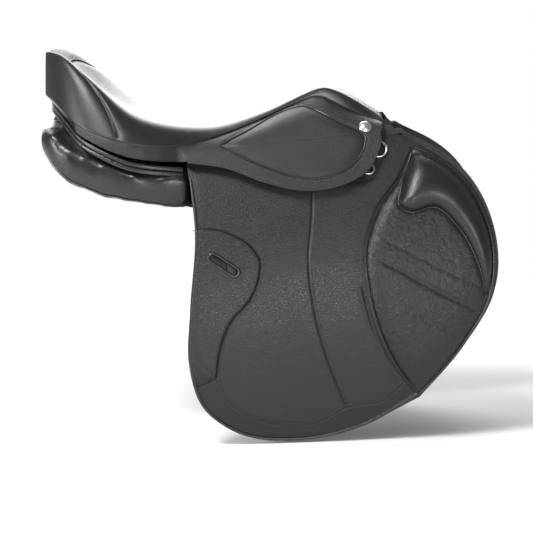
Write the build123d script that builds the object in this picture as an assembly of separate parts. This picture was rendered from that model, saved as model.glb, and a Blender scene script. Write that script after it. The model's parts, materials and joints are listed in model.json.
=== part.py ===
from build123d import *
import os
from math import sin, cos, tan, radians

# A close-contact jumping saddle: a sprung tree with a padded seat over it, two panels under it,
# and on each side a sweat flap, girth straps, a flap with its knee roll, and a skirt.
# Millimetres. +X is forward (the pommel), +Y is the rider's left, +Z is up.
# The origin lies in the channel between the panels, under the lowest point of the seat,
# at the height where the panels bear on the back.

# ---------------------------------------------------------------- overall sizes
SEAT_LENGTH = 458.0      # back of the cantle to the front of the pommel
SEAT_WIDTH = 270.0       # widest, between the two seams of the seat
SEAT_HEIGHT = 71.0       # lowest point of the seat above the origin
CANTLE_RISE = 94.0       # middle of the cantle above the lowest point
POMMEL_RISE = 52.0       # pommel above the lowest point
FLAP_REACH = 390.0       # back of the hinge line to the foremost point of the flap
FLAP_DROP = 387.0        # hinge line to the lowest point of the flap

# ---------------------------------------------------------------- seat and tree layers
COVER = 6.0              # seat leather with its thin foam backing
FOAM = 15.0              # moulded seat foam
CANTLE_FOAM = 28.0       # how much deeper the foam is at the cantle
WEB = 0.9                # woven webs stretched over the tree, two deep where they cross
TREE = 11.0              # laminated wood
LAYER_GAP = 0.6          # left between two curved layers
RAIL = 21.0              # width of the tree's side rails
SPRING = 2.4             # steel springs under the rails
CHANNEL = 56.0           # clear width between the panels
LINING = 2.5             # leather that closes the channel under the tree

# ---------------------------------------------------------------- side leathers
HINGE_BACK = (-56.0, 30.0 - SEAT_WIDTH / 2, 31.0)   # back end of the line the right flap folds on
TOE_IN = 6.7             # the line runs in towards the pommel
PITCH = 6.5              # and up towards it
SPLAY = 32.0             # how far from upright the flap leaves the line
FLAP_RADIUS = 480.0      # its curve round the rider's leg
OVERLAY = 2.5            # outer leather of the flap
BASE = 3.7               # flap leather behind it
STRAP = 3.8              # girth straps
SWEAT = 3.5              # sweat flap
SLIP = 0.95              # room between leathers that slide on each other
SPLIT = 0.6              # room along the line between the fixed and the folding leather
FLAP_HEM = 15.0          # fixed leather of the flap above the line
SKIRT_LIFT = 8.5         # the skirt stands this far off the flap, over the stirrup bar
SKIRT = 5.0
INSERT = 3.6             # padded panel on the skirt
PAD = 10.0               # knee pad
ROLL = 17.0              # knee roll on top of it

# ---------------------------------------------------------------- metalwork
BAR_LENGTH, BAR_WIDTH, BAR_THICK = 66.0, 8.0, 5.0
BAR_PLATE = 2.5
BAR_BACK = 168.0         # back end of the stirrup bar along the hinge line
BAR_DROP = 12.5          # middle of the bar above the hinge line
CATCH = 17.0             # length of the bar's thumb catch
PIN_R = 1.5
PIN_FIT = 0.06
NAIL_R, NAIL_HEIGHT = 9.0, 4.5
RINGS = {"upper": (254.0, 20.0, 12.5, 3.5), "lower": (236.0, 46.0, 8.5, 3.2)}
RING_ROOM = 0.8          # room round the ring's wire in its chape
STRAP_WIDTH, STRAP_LENGTH, STRAP_PITCH = 25.0, 330.0, 45.0
HOLE_R, HOLE_PITCH = 2.6, 22.0
STRAP_FIRST = 62.0       # first strap from the back of the hinge line
STRAP_LEAN = 7.3         # the straps hang plumb while the hinge line climbs
SLOT_LENGTH, SLOT_WIDTH = 42.0, 8.0

parts = {}


def smooth(points, x):
    """Height at x of a smooth curve through the points (cubic, with no overshoot at the ends)."""
    xs = [p[0] for p in points]
    if x <= xs[0]:
        return points[0][1]
    if x >= xs[-1]:
        return points[-1][1]
    i = max(k for k in range(len(xs) - 1) if xs[k] <= x)

    def slope(k):
        a, b = points[max(k - 1, 0)], points[min(k + 1, len(points) - 1)]
        return (b[1] - a[1]) / (b[0] - a[0])

    (x0, y0), (x1, y1) = points[i], points[i + 1]
    h = x1 - x0
    t = (x - x0) / h
    rise = (y1 - y0) * (3 * t**2 - 2 * t**3)
    return y0 + rise + h * (slope(i) * t * (1 - t) ** 2 - slope(i + 1) * t**2 * (1 - t))


# ---------------------------------------------------------------- shape of the seat
# Each curve is given along the seat as a share of its length, from the seat's lowest point.
# CENTRE is a share of the rise and HALF_WIDTH a share of the half width. EDGE, the seam beside the
# seat, is in millimetres for the drawn rises.
DRAWN_CANTLE, DRAWN_POMMEL, DRAWN_WIDTH = 94.0, 52.0, 270.0
DRAWN_REACH, DRAWN_DROP = 390.0, 387.0
SEAT_CROWN = 20.0        # lowest point of the seam below the lowest point of the seat
CENTRE = [(-0.55, 1.0), (-0.50, 0.93), (-0.435, 0.67), (-0.37, 0.415), (-0.295, 0.20), (-0.20, 0.06),
          (-0.10, 0.0), (-0.03, 0.02), (0.03, 0.16), (0.09, 0.32), (0.15, 0.54), (0.205, 0.77),
          (0.25, 0.94), (0.28, 1.0), (0.34, 0.81), (0.405, 0.46), (0.45, 0.22)]
HALF_WIDTH = [(-0.55, 0.30), (-0.525, 0.50), (-0.48, 0.72), (-0.435, 0.86), (-0.37, 0.96), (-0.295, 1.0),
              (-0.21, 0.935), (-0.10, 0.735), (-0.03, 0.62), (0.03, 0.50), (0.09, 0.37), (0.15, 0.285),
              (0.21, 0.24), (0.25, 0.25), (0.28, 0.285), (0.34, 0.375), (0.405, 0.41), (0.45, 0.42)]
EDGE = [(-0.55, 108.0), (-0.525, 107.0), (-0.48, 90.0), (-0.435, 75.0), (-0.37, 64.0), (-0.295, 56.0),
        (-0.21, 51.0), (-0.10, 55.0), (-0.03, 62.0), (0.03, 71.0), (0.09, 81.0), (0.15, 93.0),
        (0.205, 104.0), (0.25, 112.0), (0.28, 109.0), (0.34, 95.0), (0.405, 85.0), (0.45, 79.0)]
RIM_RISE = [(-0.55, 6.0), (-0.50, 11.0), (-0.435, 14.0), (-0.37, 15.0), (-0.295, 9.0), (-0.20, 3.0),
            (-0.10, 0.0)]
STATIONS = [-0.55, -0.525, -0.50, -0.47, -0.435, -0.40, -0.35, -0.295, -0.25, -0.20, -0.15, -0.10, -0.05, 0.0,
            0.05, 0.10, 0.15, 0.20, 0.24, 0.27, 0.30, 0.34, 0.38, 0.415, 0.45]


def hinge_point(x, offset=0.0):
    """y and z of the hinge line at x, stood off from the flap's face by offset (right side, y positive)."""
    run = x - HINGE_BACK[0]
    y = -HINGE_BACK[1] - run * tan(radians(TOE_IN))
    z = HINGE_BACK[2] + run * tan(radians(PITCH))
    return y + offset * cos(radians(SPLAY)), z + offset * sin(radians(SPLAY))


def half_width(x):
    return smooth(HALF_WIDTH, x / SEAT_LENGTH) * SEAT_WIDTH / 2


def edge_height(x):
    """Height of the seam along the side of the seat."""
    u = x / SEAT_LENGTH
    raised = CANTLE_RISE / DRAWN_CANTLE if u < -0.2 else POMMEL_RISE / DRAWN_POMMEL if u > 0 else 1.0
    lowest = min(z for _, z in EDGE)
    return SEAT_HEIGHT - SEAT_CROWN + (smooth(EDGE, u) - lowest) * raised


def side_foot(x):
    """Lower edge of the leather beside the seat: the hinge line, and behind it the edge of the skirt."""
    hinge_y, hinge_z = hinge_point(x, SKIRT_LIFT + SKIRT)
    if x > HINGE_BACK[0]:
        return hinge_y, hinge_z
    t = min(1.0, (HINGE_BACK[0] - x) / (HINGE_BACK[0] + 0.435 * SEAT_LENGTH))
    tail_y, tail_z = half_width(x) + 3.0, smooth(WELT_LINE, x / SEAT_LENGTH) + 3.6
    blend = min(1.0, t / 0.05)
    return hinge_y + (tail_y - hinge_y) * blend, hinge_z + (tail_z - hinge_z) * blend


def top_height(x, y):
    """The outer surface of the whole saddle top at x, y: the seat, and the skirt line beside it."""
    u, y = x / SEAT_LENGTH, abs(y)
    rise = CANTLE_RISE if u < -0.1 else POMMEL_RISE
    middle = SEAT_HEIGHT + rise * smooth(CENTRE, u)
    width, edge = half_width(x), edge_height(x)
    rim, rim_y = middle + smooth(RIM_RISE, u), 0.7 * width
    if y <= rim_y:
        t = y / rim_y
        return middle + (rim - middle) * (3 * t**2 - 2 * t**3)
    if y <= width:
        t = (y - rim_y) / (width - rim_y)
        return rim + (edge - rim) * t**1.7
    foot_y, foot_z = side_foot(x)
    t = (y - width) / (foot_y - width)
    bulge = 6.0 * max(0.0, min(1.0, (u + 0.02) / 0.2))
    return edge + (foot_z - edge) * t + bulge * 4 * t * max(0.0, 1 - t)


def deeper(x):
    """Extra depth of the foam towards the cantle."""
    t = max(0.0, min(1.0, (-0.26 * SEAT_LENGTH - x) / (0.24 * SEAT_LENGTH)))
    return CANTLE_FOAM * (3 * t**2 - 2 * t**3)


def section(x, low_y, high_y, top, bottom):
    """Closed outline across the saddle at x, between two depths below the top surface."""
    middle, half = (low_y + high_y) / 2, (high_y - low_y) / 2
    ys = [middle + half * sin(radians(7.5 * k)) for k in range(-12, 13)]
    upper = [(x, y, top_height(x, y) - top) for y in ys]
    lower = [(x, y, top_height(x, y) - bottom) for y in ys]
    return Face(Wire.make_polygon(upper + lower[::-1]))


def stations(start, end):
    """Places along the seat from start to end where its sections are drawn."""
    inside = [u * SEAT_LENGTH for u in STATIONS if start + 4 < u * SEAT_LENGTH < end - 4]
    return [start, *inside, end]


def layer(start, end, width, top, bottom):
    """A layer of the seat from start to end; width, top and bottom are functions of x."""
    faces = [section(x, -width(x), width(x), top(x), bottom(x)) for x in stations(start, end)]
    return Solid.make_loft([f.outer_wire() for f in faces], ruled=True)


def plan(points, low=-60.0, high=220.0):
    """Upright prism over an outline from the middle of the back to the middle of the front, mirrored."""
    right = [(x, -y, 0) for x, y in points]
    left = [(x, y, 0) for x, y in points[::-1]]
    outline = Wire([Spline(*right), Spline(*left)])
    return Pos(0, 0, low) * extrude(Face(outline), high - low, dir=(0, 0, 1))


def both(name, solid):
    """Keep a right-hand piece and its mirror image."""
    parts[f"right_{name}"] = solid
    parts[f"left_{name}"] = mirror(solid, about=Plane.XZ)


# ---------------------------------------------------------------- the flap's own frame
# Offsets of the leathers from the flap's outer face, and how far down the curve they can reach.
BASE_OUTER = -(OVERLAY + 0.3)
BASE_INNER = BASE_OUTER - BASE
STRAP_OUTER = BASE_INNER - SLIP
STRAP_INNER = STRAP_OUTER - STRAP
SWEAT_OUTER = STRAP_INNER - SLIP
SWEAT_INNER = SWEAT_OUTER - SWEAT
LOWEST = 1.12 * FLAP_DROP

# Along the hinge line is x, outwards is -y, up is z; s runs down the curve of the flap from the line.
HINGE_FRAME = Pos(*HINGE_BACK) * Rot(0, 0, TOE_IN) * Rot(0, -PITCH, 0)


def on_curve(s, offset, x=0.0):
    angle = radians(SPLAY) - s / FLAP_RADIUS
    out = (FLAP_RADIUS + offset) * cos(angle) - FLAP_RADIUS * cos(radians(SPLAY))
    up = (FLAP_RADIUS + offset) * sin(angle) - FLAP_RADIUS * sin(radians(SPLAY))
    return Vector(x, -out, up)


def outward(s):
    angle = radians(SPLAY) - s / FLAP_RADIUS
    return Vector(0, -cos(angle), sin(angle))


def band(inner, outer, start, end, x_from=-90.0, x_to=460.0):
    """A curved sheet of the flap between two offsets from its face, from start to end down the curve."""
    def arc(offset, a, b):
        return ThreePointArc(on_curve(a, offset), on_curve((a + b) / 2, offset), on_curve(b, offset))

    edges = [arc(outer, start, end), Line(on_curve(end, outer), on_curve(end, inner)),
             arc(inner, end, start), Line(on_curve(start, inner), on_curve(start, outer))]
    return Pos(x_from, 0, 0) * extrude(Face(Wire(edges)), x_to - x_from, dir=(1, 0, 0))


def at_flap(x, z):
    """Point of an outline on the flap, which grows with the flap's reach and drop."""
    return x * FLAP_REACH / DRAWN_REACH, z * FLAP_DROP / DRAWN_DROP


def prism(edges):
    """Sideways prism through all the leathers, over an outline in the flap's frame."""
    return Pos(0, 120, 0) * extrude(Face(Wire(edges)), 400, dir=(0, -1, 0))


def flap_points(points):
    return [(x, 0, z) for x, z in (at_flap(*point) for point in points)]


def spline(points):
    return Spline(*flap_points(points))


def line(a, b):
    return Line(*flap_points([a, b]))


def seat_on(solid):
    return HINGE_FRAME * solid


FLAP_TAIL = [(-3, 0), (-6, -95), (-26, -191), (-36, -262), (-25, -320), (21, -366), (101, -387),
             (184, -380), (267, -350)]
FLAP_NOSE = [(267, -350), (335, -283), (381, -216), (390, -150), (363, -63), (318, -20), (284, 4), (270, 26)]
FLAP_SEAM = [(299, -17), (275, -51), (238, -88), (213, -140), (210, -192), (222, -265), (247, -322), (264, -346)]
SKIRT_HEM = [(-2, -2), (45, -14), (96, -39), (141, -54), (189, -55), (235, -38), (258, -6), (265, 19)]
INSERT_HEM = [(50, 4), (77, -11), (121, -32), (167, -41), (212, -31), (234, -8), (237, 5)]


def flap_outline():
    return prism([spline(FLAP_TAIL), spline(FLAP_NOSE), line((270, 26), (270, 60)), line((270, 60), (-3, 60)),
                  line((-3, 60), (-3, 0))])


def overlay_outline():
    nose = FLAP_TAIL[:-1] + [(264, -346)]
    return prism([spline(nose), spline(FLAP_SEAM[::-1]), spline([(299, -17), (284, 4), (270, 26)]),
                  line((270, 26), (270, 60)), line((270, 60), (-3, 60)), line((-3, 60), (-3, 0))])


def pad_outline():
    nose = [(268, -344), (332, -281), (376, -215), (386, -150), (360, -66), (318, -25), (303, -17)]
    seam = [(303, -17), (279, -52), (242, -90), (217, -141), (214, -192), (226, -264), (251, -321), (268, -344)]
    return prism([spline(nose), spline(seam)])


def roll_outline():
    crease = [(297, -21), (274, -66), (268, -88), (278, -97), (315, -96), (344, -130), (362, -179), (368, -216)]
    nose = [(368, -216), (381, -185), (383, -150), (371, -96), (345, -52), (316, -29), (297, -21)]
    return prism([spline(crease), spline(nose)])


def slot(length, width):
    """Prism of the girth keeper's slot, which slants down towards the front."""
    x, z = at_flap(26, -137)
    face = Plane((x, 120, z), x_dir=(1, 0, -0.87), z_dir=(0, -1, 0)) * SlotOverall(length, width)
    return extrude(face, 400, dir=(0, -1, 0))


# ---------------------------------------------------------------- seat, tree and lining
SEAT_BACK, SEAT_FRONT = -0.55 * SEAT_LENGTH, 0.45 * SEAT_LENGTH
WEB_TOP = COVER + 2 * LAYER_GAP + FOAM
TREE_TOP = WEB_TOP + 2 * WEB + 2 * LAYER_GAP


def make_seat():
    parts["seat_cover"] = layer(SEAT_BACK, SEAT_FRONT, lambda x: half_width(x) - 0.5,
                                lambda x: 0, lambda x: COVER + 0.3 * deeper(x))
    foam_top = COVER + LAYER_GAP
    parts["seat_foam"] = layer(SEAT_BACK + 12, SEAT_FRONT - 9, lambda x: half_width(x) - 12,
                               lambda x: foam_top + 0.42 * deeper(x), lambda x: foam_top + FOAM + deeper(x))


TREE_HALF_WIDTH = [(-0.52, 46), (-0.48, 62), (-0.40, 84), (-0.29, 92), (-0.10, 72), (0.05, 60), (0.2, 60),
                   (0.36, 62)]


def tree_half_width(x):
    return smooth(TREE_HALF_WIDTH, x / SEAT_LENGTH) * SEAT_WIDTH / DRAWN_WIDTH


def make_tree():
    back, front = SEAT_BACK + 16, 0.36 * SEAT_LENGTH
    under = TREE_TOP + TREE
    body = layer(back, front, tree_half_width, lambda x: TREE_TOP + deeper(x), lambda x: under + deeper(x))
    opening = [(-0.40 * SEAT_LENGTH, 0)]
    for u in (-0.37, -0.29, -0.10, 0.05, 0.17):
        opening.append((u * SEAT_LENGTH, tree_half_width(u * SEAT_LENGTH) - RAIL))
    opening += [(0.21 * SEAT_LENGTH, 0)]
    body -= plan(opening)
    parts["tree_frame"] = body - flap_room()
    cantle = layer(back + 4, back + 44, lambda x: tree_half_width(x) - 8,
                   lambda x: under + LAYER_GAP + deeper(x), lambda x: under + SPRING + deeper(x))
    parts["cantle_plate"] = cantle


def flap_room():
    """The space taken by the leathers outside the tree and panels, on both sides."""
    right = seat_on(band(SWEAT_INNER - LAYER_GAP, 60, -60, LOWEST, x_from=-9))
    return [right, mirror(right, about=Plane.XZ)]


def make_springs():
    """Steel springs under the rails, from the head to the cantle."""
    def strip(x):
        return tree_half_width(x) - RAIL / 2

    depth = TREE_TOP + TREE + LAYER_GAP
    faces = [section(x, -strip(x) - 8, -strip(x) + 8, depth + deeper(x), depth + SPRING + deeper(x))
             for x in stations(-0.30 * SEAT_LENGTH, 0.19 * SEAT_LENGTH)]
    both("tree_spring", Solid.make_loft([f.outer_wire() for f in faces], ruled=True))


def make_head():
    """Steel arch under the head of the tree, with its points down the front of the panels."""
    x_from, x_to = 0.29 * SEAT_LENGTH, 0.35 * SEAT_LENGTH
    crown = top_height(x_to, 0) - TREE_TOP - TREE - 1.0
    knee_y, knee_z = hinge_point(x_to, -22.0)
    foot = HINGE_FRAME * Pos(on_curve(70, -25, x_to - HINGE_BACK[0]))
    foot_y, foot_z = -foot.position.Y, foot.position.Z
    outer = [(0, crown), (30, crown - 8), (knee_y - 6, knee_z), (foot_y - 3, foot_z)]
    inner = [(max(0, y - 6), z - 4) for y, z in outer]
    right = outer + inner[::-1]
    wire = Wire.make_polygon([(x_from, -y, z) for y, z in right])
    half = extrude(Face(wire), x_to - x_from, dir=(1, 0, 0))
    parts["gullet_plate"] = half + mirror(half, about=Plane.XZ)


def make_webs():
    """Two webs along the seat and two across it, stretched over the tree."""
    lengthways, across = [], []
    for x_from, x_to in ((-0.27, -0.21), (-0.06, 0.0)):
        xs = [x_from * SEAT_LENGTH, (x_from + x_to) / 2 * SEAT_LENGTH, x_to * SEAT_LENGTH]
        depth = WEB_TOP + WEB + 0.4 * LAYER_GAP
        wires = []
        for x in xs:
            half, top = tree_half_width(x), depth + deeper(x)
            wires.append(section(x, -half, half, top, top + WEB).outer_wire())
        across.append(Solid.make_loft(wires, ruled=True))
    for side in (-1, 1):
        faces = [section(x, side * 26 - 12, side * 26 + 12, WEB_TOP + deeper(x), WEB_TOP + WEB + deeper(x))
                 for x in stations(-0.42 * SEAT_LENGTH, 0.24 * SEAT_LENGTH)]
        lengthways.append(Solid.make_loft([f.outer_wire() for f in faces], ruled=True))
    parts["long_webs"] = Compound(lengthways)
    parts["cross_webs"] = Compound(across)


def make_lining():
    depth = TREE_TOP + TREE + SPRING + 2 * LAYER_GAP
    parts["channel_lining"] = layer(-0.43 * SEAT_LENGTH, 0.24 * SEAT_LENGTH, lambda x: CHANNEL / 2 - 0.6,
                                    lambda x: depth + deeper(x), lambda x: depth + LINING + deeper(x))


# ---------------------------------------------------------------- panels
# Across the right panel at each place: inner top, outer top, outer bottom, middle bottom, inner bottom.
PANEL = [
    (-0.550, (46, 80), (98, 74), (98, 50), (80, 47), (46, 54)),
    (-0.513, (32, 82), (119, 72), (119, 24), (80, 23), (32, 42)),
    (-0.470, (30, 75), (131, 52), (128, 3), (80, 11), (30, 34)),
    (-0.370, (29, 54), (142, 31), (130, -16), (80, 1), (29, 22)),
    (-0.285, (28, 41), (146, 17), (133, -24), (80, -8), (28, 12)),
    (-0.195, (28, 31), (142, 10), (132, -31), (80, -14), (28, 5)),
    (-0.110, (28, 26), (134, 8), (128, -38), (80, -18), (28, 1)),
    (-0.020, (28, 27), (125, 12), (128, -52), (84, -30), (28, 0)),
    (0.110, (29, 42), (110, 28), (132, -78), (95, -60), (29, 8)),
    (0.240, (31, 72), (100, 45), (135, -105), (100, -98), (31, 30)),
    (0.360, (40, 60), (95, 40), (135, -112), (102, -108), (40, 34)),
    (0.440, (50, 52), (90, 36), (130, -90), (98, -86), (50, 32)),
]


def make_panels():
    wires = [Wire.make_polygon([(u * SEAT_LENGTH, -y, z) for y, z in corners]) for u, *corners in PANEL]
    panel = Solid.make_loft(wires, ruled=True)
    panel -= flap_room()
    under = TREE_TOP + TREE + SPRING + 2 * LAYER_GAP
    panel -= layer(-0.53 * SEAT_LENGTH, 0.37 * SEAT_LENGTH, lambda x: tree_half_width(x) + 0.5,
                   lambda x: TREE_TOP - 1 + deeper(x), lambda x: under + deeper(x))
    panel -= parts["gullet_plate"]
    both("panel", panel)


# ---------------------------------------------------------------- skirt beside the seat
def make_skirt_tops():
    """The fixed leather from the seat's seam down to the hinge line, and round to the cantle."""
    start, end = -0.45 * SEAT_LENGTH, 0.445 * SEAT_LENGTH
    wires = []
    for x in stations(start, end):
        head, (foot_y, _) = half_width(x) + 0.9, side_foot(x)
        upper, lower = [], []
        for t in (0, 0.25, 0.5, 0.75, 1):
            y = head + (foot_y - SPLIT - head) * t
            z = top_height(x, y)
            lean = radians(90 + (SPLAY - 90) * t)
            upper.append((x, -y, z))
            lower.append((x, -y + SKIRT * cos(lean), z - SKIRT * sin(lean)))
        wires.append(Wire.make_polygon(upper + lower[::-1]))
    both("skirt_top", Solid.make_loft(wires, ruled=True))


def make_nails():
    """Domed saddle nail on each skirt, near the pommel."""
    x = 0.393 * SEAT_LENGTH
    width, (foot_y, _) = half_width(x), side_foot(x)
    y = width + 0.80 * (foot_y - width)
    slope = (top_height(x, y + 4) - top_height(x, y - 4)) / 8
    normal = Vector(0, slope, 1).normalized()
    along = Plane((x, -y, top_height(x, y)), z_dir=(0.12, -abs(normal.Y), normal.Z))
    dome_r = (NAIL_R**2 + NAIL_HEIGHT**2) / (2 * NAIL_HEIGHT)
    dome = Pos(0, 0, NAIL_HEIGHT - dome_r + 0.8) * Sphere(dome_r)
    above = Pos(0, 0, 0.8) * Cylinder(NAIL_R + 1, 20, align=(Align.CENTER, Align.CENTER, Align.MIN))
    head = dome & above
    both("saddle_nail", along * head)


# ---------------------------------------------------------------- flap and skirt
def make_flaps():
    outline = flap_outline()
    room = seat_on(band(-40, 40, -60, -BAR_DROP + 8, BAR_BACK - 8 - CATCH, BAR_BACK + BAR_LENGTH + 10))
    base = band(BASE_INNER, BASE_OUTER, SPLIT, LOWEST) & outline
    overlay = band(-OVERLAY, 0, SPLIT, LOWEST) & overlay_outline()
    base -= slot(SLOT_LENGTH, SLOT_WIDTH)
    overlay -= slot(SLOT_LENGTH, SLOT_WIDTH)
    both("flap_base", seat_on(base))
    both("flap_overlay", seat_on(overlay))
    around = slot(SLOT_LENGTH + 15, SLOT_WIDTH + 9) - slot(SLOT_LENGTH, SLOT_WIDTH)
    rim = band(0.2, 1.8, SPLIT, LOWEST) & around
    both("girth_keeper", seat_on(rim))
    pad = band(-OVERLAY + 0.2, PAD, SPLIT + 4, LOWEST) & pad_outline()
    both("knee_pad", seat_on(pad))
    roll = band(PAD + 0.3, PAD + ROLL, SPLIT + 4, LOWEST) & roll_outline()
    both("knee_roll", seat_on(roll))
    top = seat_on(band(BASE_INNER, 0, -FLAP_HEM, -SPLIT) & outline) - room
    both("flap_top", top - parts["right_skirt_top"])
    sweat = seat_on(band(SWEAT_INNER, SWEAT_OUTER, -FLAP_HEM, LOWEST) & Pos(4, 0, 4) * outline) - room
    both("sweat_flap", sweat - parts["right_skirt_top"])


def make_skirts():
    hem = [line((-2, 40), (-2, -2)), spline(SKIRT_HEM), line((265, 19), (265, 40)), line((265, 40), (-2, 40))]
    both("skirt", seat_on(band(SKIRT_LIFT, SKIRT_LIFT + SKIRT, SPLIT, 120) & prism(hem)))
    edge = [line((50, 40), (50, 4)), spline(INSERT_HEM), line((237, 5), (237, 40)), line((237, 40), (50, 40))]
    face = SKIRT_LIFT + SKIRT + 0.3
    both("skirt_insert", seat_on(band(face, face + INSERT, SPLIT + 5, 120) & prism(edge)))


# ---------------------------------------------------------------- stirrup bars
def bar_box(x, s, size_x, size_s, inner, outer):
    """A straight block on the flap's frame, centred at x and s, between two offsets."""
    middle = on_curve(s, (inner + outer) / 2, x)
    place = Plane(middle, x_dir=(1, 0, 0), z_dir=outward(s))
    return place * Box(size_x, size_s, outer - inner)


def make_stirrup_bars():
    s = -BAR_DROP
    face, bar_top = SWEAT_INNER, -0.2
    plate_x, plate_length = BAR_BACK + BAR_LENGTH / 2 + 2, BAR_LENGTH + 10
    plate = bar_box(plate_x, s, plate_length, 14, face, face + BAR_PLATE)
    finger = bar_box(BAR_BACK + BAR_LENGTH / 2, s, BAR_LENGTH, BAR_WIDTH, bar_top - BAR_THICK, bar_top)
    neck = bar_box(BAR_BACK + BAR_LENGTH - 4, s, 8, BAR_WIDTH, face + 1, bar_top)
    pin_x = BAR_BACK + 5
    middle = bar_top - BAR_THICK / 2
    fork = bar_box(BAR_BACK + 2, s, 15, BAR_WIDTH + 2, middle - 1.3, middle + 1.3)
    pin_place = Plane(on_curve(s, middle, pin_x), x_dir=(1, 0, 0), z_dir=outward(s))
    bar = plate + finger + neck - fork - pin_place * Cylinder(PIN_R + PIN_FIT, 20)
    both("stirrup_bar", seat_on(bar))
    tongue = bar_box(pin_x + 3 - CATCH / 2, s, CATCH, BAR_WIDTH - 2, middle - 1.0, middle + 1.0)
    tongue -= pin_place * Cylinder(PIN_R + PIN_FIT, 20)
    both("bar_catch", seat_on(tongue))
    pin = seat_on(pin_place * Cylinder(PIN_R, BAR_THICK))
    parts["catch_pins"] = Compound([pin, mirror(pin, about=Plane.XZ)])
    rivets = []
    for x in (BAR_BACK + 12, BAR_BACK + BAR_LENGTH - 14):
        spot = Plane(on_curve(s, face + BAR_PLATE, x), x_dir=(1, 0, 0), z_dir=outward(s))
        rivets.append(seat_on(spot * Pos(0, 0, 0.6) * Cylinder(3.0, 1.2)))
    parts["bar_rivets"] = Compound(rivets + [mirror(r, about=Plane.XZ) for r in rivets])


# ---------------------------------------------------------------- rings and straps
def make_rings():
    """Round rings in leather chapes on the flap, under the front edge of the skirt."""
    chapes = []
    for name, (x, s, outside, wire) in RINGS.items():
        ring_r = outside - wire / 2
        place = Plane(on_curve(s, wire / 2 + 0.5, x), x_dir=(1, 0, 0), z_dir=outward(s))
        ring = place * Torus(ring_r, wire / 2)
        top = s - ring_r
        chape = bar_box(x, top - 1, 11, 9, 0.3, 6.2)
        chape -= place * Torus(ring_r, wire / 2 + RING_ROOM)
        chapes.append(seat_on(chape))
        both(f"{name}_ring", seat_on(ring))
    parts["right_ring_chapes"] = Compound(chapes)
    parts["left_ring_chapes"] = Compound([mirror(c, about=Plane.XZ) for c in chapes])


def make_girth_straps():
    for number in range(3):
        x = STRAP_FIRST + number * STRAP_PITCH
        sheet = band(STRAP_INNER, STRAP_OUTER, -18, STRAP_LENGTH)
        blade = Pos(0, 0, -STRAP_LENGTH / 2 + 12) * Box(STRAP_WIDTH, 900, STRAP_LENGTH + 40)
        hole = Rot(90, 0, 0) * Cylinder(HOLE_R, 900)
        holes = [Pos(0, 0, -STRAP_LENGTH + 60 + HOLE_PITCH * k) * hole for k in range(8)]
        strap = sheet & (Pos(x, 0, 5) * Rot(0, STRAP_LEAN, 0) * (blade - holes))
        both(f"girth_strap_{number + 1}", seat_on(strap))


# ---------------------------------------------------------------- cantle welts and pommel facing
WELT_PLAN = [(-0.535, 0), (-0.522, 50), (-0.48, 93), (-0.435, 118), (-0.37, 134), (-0.30, 141), (-0.20, 137),
             (-0.135, 126)]
WELT_LINE = [(-0.54, 104), (-0.51, 96), (-0.45, 68), (-0.37, 47), (-0.30, 34), (-0.20, 26), (-0.12, 22)]
CANTLE_LEATHER = 3.0
WELT = 6.5


def round_cantle(inset, swell=0.0):
    """Upright prism over the plan of the cantle, from its sides round the back."""
    wider = SEAT_WIDTH / DRAWN_WIDTH
    right = [(u * SEAT_LENGTH + (inset if y < 100 else 0), y * wider + swell - inset) for u, y in WELT_PLAN]
    right[0] = (right[0][0], 0)
    tail = (right[-1][0], -right[-1][1], 0)
    round_back = [(x, y, 0) for x, y in right[::-1]] + [(x, -y, 0) for x, y in right[1:]]
    outline = Wire([Spline(*round_back), Line(tail, (tail[0], -tail[1], 0))])
    return Pos(0, 0, -40) * extrude(Face(outline), 260, dir=(0, 0, 1))


def make_cantle_cover():
    """Leather over the back of the cantle, from the seat down to the upper welt."""
    wall = round_cantle(3.5) - round_cantle(3.5 + CANTLE_LEATHER)
    under_seat = layer(SEAT_BACK, -0.42 * SEAT_LENGTH, lambda x: half_width(x) - 1,
                       lambda x: COVER + 1.0 + 0.4 * deeper(x), lambda x: 150)
    over_welt = [(u * SEAT_LENGTH, 0, z + LAYER_GAP) for u, z in WELT_LINE]
    back = over_welt[0][0] - 10
    corners = [(over_welt[-1][0], 0, 260), (back, 0, 260), (back, 0, over_welt[0][2])]
    edges = [Spline(*over_welt), Line(over_welt[-1], corners[0]), Line(corners[0], corners[1]),
             Line(corners[1], corners[2]), Line(corners[2], over_welt[0])]
    above = Pos(0, -200, 0) * extrude(Face(Wire(edges)), 400, dir=(0, 1, 0))
    cover = wall & under_seat & above
    parts["cantle_cover"] = max(cover.solids(), key=lambda solid: solid.volume)
    front = Pos(0.2 * SEAT_LENGTH, 0, 100) * Box(0.7 * SEAT_LENGTH, 2 * SEAT_WIDTH, 400)
    inside = round_cantle(3.5 + CANTLE_LEATHER + LAYER_GAP) + front
    for name in ("seat_foam", "tree_frame", "cantle_plate"):
        parts[name] = parts[name] & inside


def make_welts():
    """Two rolled welts that run round the cantle between the skirt and the panels."""
    for name, drop, swell in (("upper", 0.0, 0.0), ("lower", 6.4, 1.5)):
        top = [(u * SEAT_LENGTH, 0, z - drop) for u, z in WELT_LINE]
        low = [(x, 0, z - 5.8) for x, _, z in top]
        side = Wire([Spline(*top), Line(top[-1], low[-1]), Spline(*low[::-1]), Line(low[0], top[0])])
        side_band = Pos(0, -200, 0) * extrude(Face(side), 400, dir=(0, 1, 0))
        ring = round_cantle(0, swell) - round_cantle(WELT, swell)
        parts[f"{name}_cantle_welt"] = ring & side_band


def make_facing():
    """Leather over the front of the pommel, between the seat and the arch."""
    x = SEAT_FRONT - 4
    face = section(x, -half_width(x) + 4, half_width(x) - 4, COVER + LAYER_GAP + 6, COVER + LAYER_GAP + 22)
    parts["pommel_facing"] = extrude(face, 4, dir=(1, 0, 0))


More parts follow.
